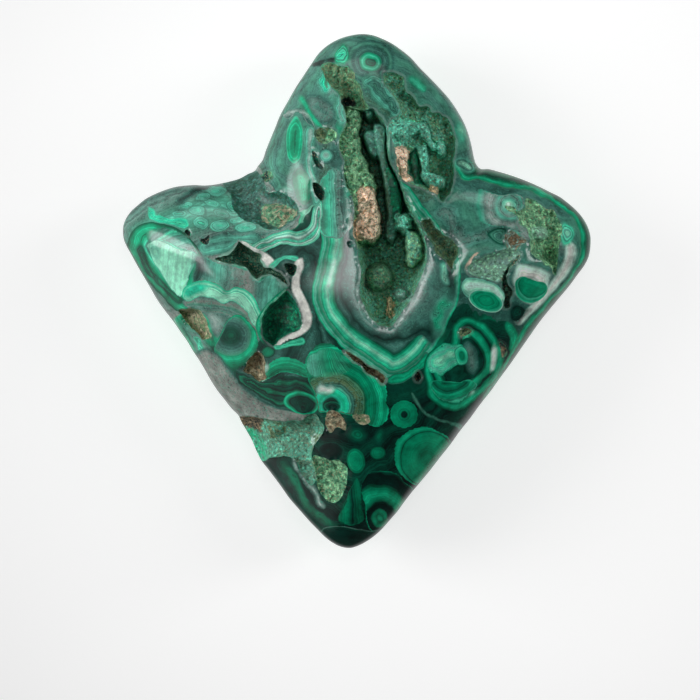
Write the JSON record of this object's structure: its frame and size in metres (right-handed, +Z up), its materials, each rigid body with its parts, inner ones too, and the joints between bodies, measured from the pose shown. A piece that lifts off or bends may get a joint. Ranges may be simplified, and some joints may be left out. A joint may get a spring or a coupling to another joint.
{
  "type": "polished malachite",
  "caption": "Polished malachite freeform in the shape of a four-lobed kite, with rounded shoulders, a flat ground base and open crusted vugs in its crown.",
  "frame": {"origin": "centre of the bounding box in X and Y, on the plane of the flat ground base", "axes": "+Z up out of the polished crown, +Y towards the top lobe with the two long vugs, -Y towards the lower tip, +X towards the right lobe"},
  "size_m": [0.1056, 0.116, 0.0379],
  "materials": {
    "malachite": "polished banded malachite with matt crusts in its vugs"
  },
  "bodies": {
    "root": {"malachite": "malachite"}
  },
  "joints": []
}
